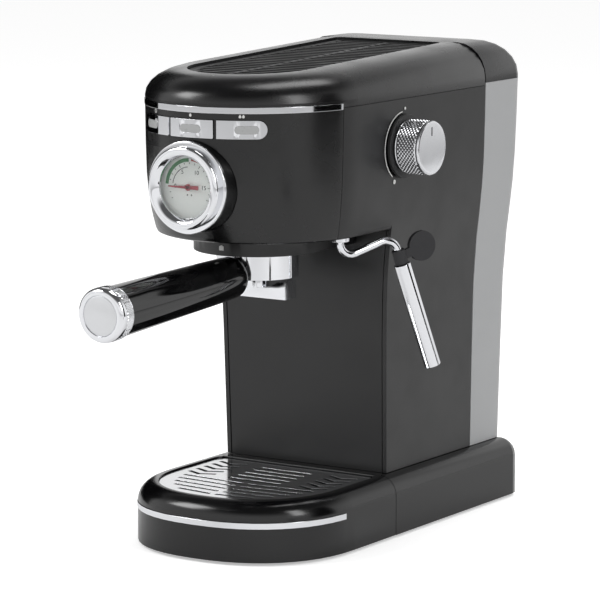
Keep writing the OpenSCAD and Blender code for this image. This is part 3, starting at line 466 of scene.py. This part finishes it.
# Every fourth tick is long, and two short strokes stand below the hub
TICK_LONG = 13.4 * MM
TICK_SHORT = 14.2 * MM
TICK_OUT = 15.2 * MM
TICK_HALF = 0.7          # degrees
STROKE_IN = 4.6 * MM
STROKE_OUT = 5.6 * MM
STROKE_APART = 17        # degrees to each side of straight down
STROKE_HALF = 4          # degrees
bm = bmesh.new()
for tick in range(-30, 211, 15):
    tick_in = TICK_LONG if tick % 60 == 0 else TICK_SHORT
    flat_arc(bm, tick_in, TICK_OUT, tick - TICK_HALF, tick + TICK_HALF, dial_z)
for side in (-1, 1):
    at = 270 + side * STROKE_APART
    flat_arc(bm, STROKE_IN, STROKE_OUT, at - STROKE_HALF, at + STROKE_HALF, dial_z)
piece("dial_ticks", bm, gauge_at, black_ink, "machine")

# Plain numbers stand inside the ticks
NUMBER_TALL = 3.6 * MM
NUMBER_THICK = 0.06 * MM
NUMBER_R = 10.4 * MM
for number, turn in ((0, 180), (5, 120), (10, 60), (15, 0)):
    text = bpy.data.curves.new(f"number_{number}", "FONT")
    text.body = str(number)
    text.size = NUMBER_TALL
    text.align_x = "CENTER"
    text.align_y = "CENTER"
    text.extrude = NUMBER_THICK
    flat = bpy.data.objects.new(f"text_{number}", text)
    bpy.context.scene.collection.objects.link(flat)
    bm = bmesh.new()
    bm.from_mesh(bpy.data.meshes.new_from_object(flat.evaluated_get(bpy.context.evaluated_depsgraph_get())))
    bpy.data.objects.remove(flat)
    bmesh.ops.remove_doubles(bm, verts=bm.verts, dist=WELD)
    around = Vector((math.cos(math.radians(turn)), math.sin(math.radians(turn)), 0)) * NUMBER_R
    bmesh.ops.translate(bm, vec=around + Vector((0, 0, dial_z + NUMBER_THICK)), verts=bm.verts)
    piece(f"dial_number_{number}", bm, gauge_at, black_ink, "machine")


def soften(bm, width):
    """Rounds every edge of a small block."""
    bmesh.ops.bevel(
        bm, geom=bm.edges[:], offset=width, segments=2, profile=0.5, affect="EDGES", material=-1)


# The pointer is a thin strip with a broad tail on a turned hub, in an even, glossy red lacquer
pointer_red = made_of("red_lacquer", "#a8263a", {"IOR": 1.5}, (0.3, 0.05, 4))
POINTER_REACH = 14.6 * MM
POINTER_TAIL = 7.6 * MM
TAIL_WIDE = 2.6 * MM
TIP_WIDE = 0.7 * MM
POINTER_THICK = 0.6 * MM
needle_z = gauge_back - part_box("gauge_needle")[0].y
bm = bmesh.new()
bmesh.ops.create_cube(bm, size=1)
for corner in bm.verts:
    tail = corner.co.x > 0
    corner.co.x = POINTER_TAIL if tail else -POINTER_REACH
    corner.co.y *= TAIL_WIDE if tail else TIP_WIDE
    corner.co.z = needle_z + (corner.co.z - 0.5) * POINTER_THICK
soften(bm, 0.12 * MM)
# The hub's pin goes down to the dial, and its head carries the strip
hub = ((0, 3.2), (1.0, 3.2), (1.0, 0.7), (2.1, 0.7), (2.1, 0.1), (1.5, 0), (0, 0))
lathe(bm, [(radius * MM, needle_z - drop * MM) for radius, drop in hub], 32)
piece("gauge_pointer", bm, gauge_at, pointer_red, "needle", ["gauge_needle"])


# ---- Steam knob ----
# A die-cast zinc knob with a diamond knurl round its side and a flat face with one black
# line. It turns on a black collar, on the steel stem of the valve.
FACETS = 4     # facets across one diamond of a knurl


def knurl(bm, radius, start, length, around, along, depth):
    """A closed drum round the local Z axis whose side is covered with raised diamonds."""
    rim = bmesh.ops.create_circle(bm, segments=around * FACETS, radius=radius, cap_ends=True)["verts"]
    bmesh.ops.translate(bm, vec=(0, 0, start), verts=rim)
    lines = [e for e in bm.edges if e.is_boundary]
    rows = along * FACETS
    for _ in range(rows):
        grown = bmesh.ops.extrude_edge_only(bm, edges=lines)["geom"]
        lines = [g for g in grown if isinstance(g, bmesh.types.BMEdge)]
        bmesh.ops.translate(
            bm, vec=(0, 0, length / rows), verts=[g for g in grown if isinstance(g, bmesh.types.BMVert)])
    bmesh.ops.contextual_create(bm, geom=lines)
    for point in bm.verts:
        turn = math.atan2(point.co.y, point.co.x) / math.tau * around
        share = (point.co.z - start) / length
        slopes = [1 - abs(2 * (value % 1) - 1) for value in (turn + share * along, turn - share * along)]
        # The two end rows stay round
        grown_r = radius + (depth * min(slopes) if 0.001 < share < 0.999 else 0)
        point.co.x, point.co.y = (c * grown_r / radius for c in point.co.xy)
    bmesh.ops.recalc_face_normals(bm, faces=bm.faces)


def block(bm, size, place):
    """A box of a size, in metres, with its middle at a place."""
    bmesh.ops.create_cube(bm, size=1, matrix=Matrix.Translation(place) @ Matrix.Diagonal((*size, 1)))


TO_SIDE = Matrix.Rotation(math.radians(90), 4, "Y")      # local Z to +X
knob_low, knob_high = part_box("steam_knob")
knob_middle = middle_of("steam_knob")
knob_r = radius_of("steam_knob")
knob_l = knob_high.x - knob_low.x
knob_at = Matrix.Translation((knob_low.x, knob_middle.y, knob_middle.z)) @ TO_SIDE
# Satin chrome over die-cast zinc: bright, with blurred reflections
satin_chrome = made_of("satin_chrome", "#dcdde0", METAL, (0.19, 0.04, 5))
KNOB_DIAMONDS = (38, 6)     # round the knob and along it
core_r = knob_r - 1.4 * MM
bm = bmesh.new()
knurl(bm, knob_r - 0.7 * MM, 1.6 * MM, knob_l - 4.4 * MM, *KNOB_DIAMONDS, 0.65 * MM)
back_bead = bend((core_r, 0.8 * MM), 0.8 * MM, -90, 90)
face_bead = bend((core_r - 0.1 * MM, knob_l - 1.4 * MM), 1.3 * MM, -90, 80)
lathe(bm, [(0, 0), (core_r + 0.2 * MM, 0), *back_bead, (core_r, knob_l - 3 * MM), *face_bead,
           (knob_r - 3 * MM, knob_l - 0.5 * MM), (0, knob_l - 0.6 * MM)])
piece("knob_body", bm, knob_at, satin_chrome, "knob", ["steam_knob"], crease=25)
bm = bmesh.new()
block(bm, (5.6 * MM, 1.1 * MM, 0.3 * MM), (-knob_r + 7 * MM, 0, knob_l - 0.55 * MM))
soften(bm, 0.1 * MM)
piece("knob_line", bm, knob_at, black_ink, "knob")
refined("knob_seat", "knob_collar", plain_abs, "machine", 0.5)
finish_node(zinc_steel, "valve_stem")


# ---- Printed marks ----
# Small white marks are pad printed over the keys, round the knob and on the collar: a ring with
# a stroke, one drop, two drops, an arc from a small dot to a large one, and a closed lock.
def surface_at(skin, outside, inward):
    """A frame on the surface of a piece where a line from outside meets it: Z outwards, Y upwards."""
    tree = BVHTree.FromObject(skin, bpy.context.evaluated_depsgraph_get())
    point, normal, _, _ = tree.ray_cast(Vector(outside), Vector(inward).normalized())
    side = Vector((0, 0, 1)).cross(normal).normalized()
    upright = Matrix((side, normal.cross(side), normal)).transposed().to_4x4()
    return Matrix.Translation(point) @ upright


white_ink = ink("white_ink", "#d8d8d6")
OUTSIDE = 0.2            # metres: far enough out to be clear of the machine
MARK_ABOVE = 2.6 * MM    # from the top of a key to the middle of its mark
# The marks stand on lines that fan out from one point inside the head
key_hub = Vector((0, -9 * MM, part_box("key_single")[1].z + MARK_ABOVE))


def key_mark(name, turn, draw):
    """A mark above a key, drawn flat and set on the head."""
    out = Vector((math.sin(turn), -math.cos(turn), 0))
    bm = bmesh.new()
    draw(bm)
    at = surface_at(head_skin, key_hub + out * OUTSIDE, -out)
    piece(name, bm, at, white_ink, "machine")


def power_mark(bm):
    """A ring that is open at the top, with a stroke in the gap."""
    flat_arc(bm, 0.95 * MM, 1.35 * MM, 125, 415, 0)
    block(bm, (0.4 * MM, 1.4 * MM, 0.2 * MM), (0, 1.1 * MM, 0))


DROP_R = 0.85 * MM
DROP_APART = 2.1 * MM
DROP_TAPER = 0.9
DROP_STRETCH = 1.7


def drops(bm, count):
    """Drops in a row, each a disc whose upper half is drawn out to a tip."""
    for i in range(count):
        disc = bmesh.ops.create_circle(bm, segments=24, radius=DROP_R, cap_ends=True)["verts"]
        for point in disc:
            if point.co.y > 0:
                point.co.x *= 1 - (point.co.y / DROP_R) ** 2 * DROP_TAPER
                point.co.y *= DROP_STRETCH
        along = (i - (count - 1) / 2) * DROP_APART
        bmesh.ops.translate(bm, vec=(along, -0.3 * MM, 0.1 * MM), verts=disc)


key_middle = middle_of("key_double")
key_turn = math.atan2(key_middle.x, key_hub.y - key_middle.y)
key_mark("mark_power", -key_turn, power_mark)
key_mark("mark_single", 0, lambda bm: drops(bm, 1))
key_mark("mark_double", key_turn, lambda bm: drops(bm, 2))

# The arc is drawn round the knob's axis, and set on the panel beside the collar
knob_collar_r = radius_of("knob_collar")
arc_aside = knob_collar_r + 5 * MM
arc_at = surface_at(
    bpy.data.objects["side_skin_right"], (OUTSIDE, knob_middle.y - arc_aside, knob_middle.z), (-1, 0, 0))
bm = bmesh.new()
flat_arc(bm, knob_collar_r + 1.4 * MM, knob_collar_r + 2.1 * MM, 96, 236, 0, 0.2 * MM)
for turn, dot_mm in ((88, 1.0), (246, 1.5)):
    at = Vector((math.cos(math.radians(turn)), math.sin(math.radians(turn)), 0))
    dot = bmesh.ops.create_circle(bm, segments=24, radius=dot_mm * MM, cap_ends=True)["verts"]
    bmesh.ops.translate(
        bm, vec=at * (knob_collar_r + 3.6 * MM) + Vector((0, 0, 0.15 * MM)), verts=dot)
bmesh.ops.translate(bm, vec=(arc_aside, 0, 0.05 * MM), verts=bm.verts)
piece("mark_steam", bm, arc_at, white_ink, "machine")

# The lock is a body with a closed hoop over it
lock_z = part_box("group_cover")[0].z + 5.4 * MM
bm = bmesh.new()
block(bm, (3.2 * MM, 2.6 * MM, 0.2 * MM), (0, -0.6 * MM, 0.05 * MM))
flat_arc(bm, 0.8 * MM, 1.3 * MM, 0, 180, 0)
lock_at = surface_at(collar_skin, (0, -OUTSIDE, lock_z), (0, 1, 0))
piece("mark_lock", bm, lock_at, white_ink, "machine")

# ---- Steam wand ----
# A bent chrome tube turns in a ball socket under the head. It carries a silicone grip, and a
# chromed frother sleeve slides over its end.
for name, node, body, edge_mm in (
        ("wand_tube", "steam_tube", "wand", 0), ("wand_ball_seat", "wand_socket", "machine", 0.4),
        ("frother_tube", "frother_sleeve", "frother", 0.4)):
    refined(name, node, chrome, body, edge_mm)
# Dark grey silicone is soft looking, with almost no shine
grip_silicone = made_of("grey_silicone_rubber", "#2a2a2c", {"IOR": 1.42}, (0.55, 0.06, 6), (0.8, 0.02))
refined("wand_grip", "steam_grip", grip_silicone, "wand", 0.8, steps=3)

# ---- Brew group ----
# A cast aluminium head under the boiler, with a rubber seal and a steel shower screen that
# one screw holds.
# Sand-blasted castings are a dull grey with a fine pitted skin
cast_aluminium = made_of("cast_aluminium", "#a9abae", METAL, (0.42, 0.08, 4), (1.2, 0.03))
finish_node(cast_aluminium, "group_head", "boiler")
finish_node(pressed_steel, "shower_screen")
finish_node(rubber, "group_gasket")
finish_node(zinc_steel, "shower_screw", "boiler_bolts")

# ---- Works inside the column ----
# The pump on its rubber mounts and bracket, the power board, the thermostats, the valve and
# the hoses are all hidden.
finish_node(plain_abs, "pump_bracket")
finish_node(rubber, "pump_mounts")
# Machined brass is a warm yellow metal, fairly bright
finish_node(made_of("machined_brass", "#b89b58", METAL, (0.3, 0.06, 3)), "steam_valve")
# The pump's coil is cast in a brown-red resin with a low sheen
finish_node(made_of("moulded_coil_resin", "#6e2a1e", {"IOR": 1.5}, (0.45, 0.06, 6)), "pump")
# Solder mask is a smooth green lacquer
finish_node(made_of("solder_mask", "#24583a", {"IOR": 1.5}, (0.35, 0.06, 6)), "power_board")
# Phenolic is a dark brown moulding with a low sheen
finish_node(made_of("brown_phenolic", "#3a2a22", {"IOR": 1.55}, (0.4, 0.06, 5)), "thermostats")
# Silicone hose is a milky grey
finish_node(made_of("silicone_hose", "#b9b8b0", {"IOR": 1.42}, (0.4, 0.06, 5)), "hoses")

# ---- Portafilter ----
# A chromed brass bowl with a two-way spout and a steel basket, and a polished black handle on
# a bolt. The handle ends in a chrome cap with a knurled edge and a spun face.
refined("portafilter_bowl", "portafilter_body", chrome, "portafilter", 0.4)
refined("twin_spout", "portafilter_spout", chrome, "portafilter", 0.8, steps=3)
finish_node(pressed_steel, "filter_basket")
finish_node(zinc_steel, "handle_bolt")
# The handle's axis passes through the middle of the cap and slopes down to the front
droop = math.radians(2.4)
cap_l = 13 * MM
cap_r = 17.2 * MM
cap_back = Vector((0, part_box("handle_cap")[1].y - cap_r * math.sin(droop),
                   middle_of("handle_cap").z + cap_l / 2 * math.sin(droop)))
cap_at = Matrix.Translation(cap_back) @ Matrix.Rotation(math.radians(90) + droop, 4, "X")
# Polished lacquer mirrors the room sharply
piano_black = black_abs("piano_black_lacquer", "#060607", 0.06, 9, 0.004)
grip_l = 129.8 * MM
root_r = 13.4 * MM
end_r = cap_r - 1.2 * MM
bolt_hole_r = 7.4 * MM
root_round = bend((root_r - 5 * MM, -grip_l + 5.2 * MM), 5 * MM, -90, -6)
# The handle swells quickly at its root, and then slowly up to the cap
swell = [(root_r + (end_r - root_r) * (i / 12) ** 0.8, -grip_l + 5 * MM + (grip_l - 5.6 * MM) * i / 12)
         for i in range(13)]
end_round = bend((end_r - 0.6 * MM, -0.8 * MM), 0.6 * MM, 0, 90)
bm = bmesh.new()
lathe(bm, [(bolt_hole_r, -grip_l + 9 * MM), (bolt_hole_r, -grip_l + 0.2 * MM), *root_round, *swell,
           *end_round, (0, -0.2 * MM), (0, -grip_l + 9 * MM), (bolt_hole_r, -grip_l + 9 * MM)], 128)
# Shallow flutes run along the handle and die out at both ends
FLUTES = 3
FLUTE_DEEP = 0.9 * MM
for point in bm.verts:
    if math.hypot(point.co.x, point.co.y) > root_r * 0.9:
        along = min(1, max(0, (point.co.z + grip_l) / grip_l))
        turn = math.atan2(point.co.y, point.co.x)
        fade = math.sin(math.pi * along) ** 0.6
        sink = FLUTE_DEEP * fade * max(0, math.cos(FLUTES * (turn - math.radians(30)))) ** 3
        point.co.x -= sink * math.cos(turn)
        point.co.y -= sink * math.sin(turn)
piece("handle_grip", bm, cap_at, piano_black, "portafilter", ["portafilter_handle"], crease=40)

CAP_DIAMONDS = (52, 4)     # round the cap and along it
back_round = bend((cap_r - 1.2 * MM, 0.7 * MM), 0.6 * MM, -90, 60)
band_round = bend((cap_r - 1.1 * MM, 8.2 * MM), 0.9 * MM, -90, 0)
face_round = bend((cap_r - 3.4 * MM, cap_l - 3.2 * MM), 3.1 * MM, 0, 84)
bm = bmesh.new()
knurl(bm, cap_r - 0.75 * MM, 0.9 * MM, 6.6 * MM, *CAP_DIAMONDS, 0.6 * MM)
lathe(bm, [(0, 0), (cap_r - 1.4 * MM, 0), *back_round, (cap_r - 1.3 * MM, 4 * MM),
           (cap_r - 1.3 * MM, 7.2 * MM), *band_round, *face_round, (cap_r - 4.6 * MM, cap_l - 0.3 * MM),
           (cap_r - 5 * MM, cap_l - 0.9 * MM), (0, cap_l - 0.9 * MM)], 128)
piece("handle_end_cap", bm, cap_at, chrome, "portafilter", ["handle_cap"], crease=30)
# The face is a spun aluminium disc, let into the cap, with a soft even sheen
spun = made_of("spun_aluminium", "#d8d9db", METAL, (0.34, 0.05, 1.2))
disc_r = cap_r - 5.2 * MM
disc_front = cap_l - 0.4 * MM
bm = bmesh.new()
lathe(bm, [(0, cap_l - 1.1 * MM), (disc_r, cap_l - 1.1 * MM), (disc_r, cap_l - 0.6 * MM),
           (cap_r - 5.6 * MM, disc_front), (0, disc_front)])
piece("cap_disc", bm, cap_at, spun, "portafilter")

# ---- Water tank and lid ----
# The tank stands on a moulded seat in an open bay behind the column, and its black lid
# carries on the dome of the cap.
# Smoked translucent SAN looks evenly grey, with a soft shine
smoked_san = made_of(
    "smoked_translucent_san", "#a6a7a8", {"IOR": 1.45, "Specular IOR Level": 0.35}, (0.34, 0.04, 40))
refined("tank_vessel", "water_tank", smoked_san, "tank", 0)
refined("tank_cover", "tank_lid", head_abs, "lid", 0.6)
finish_node(plain_abs, "tank_bay", "tank_seat")
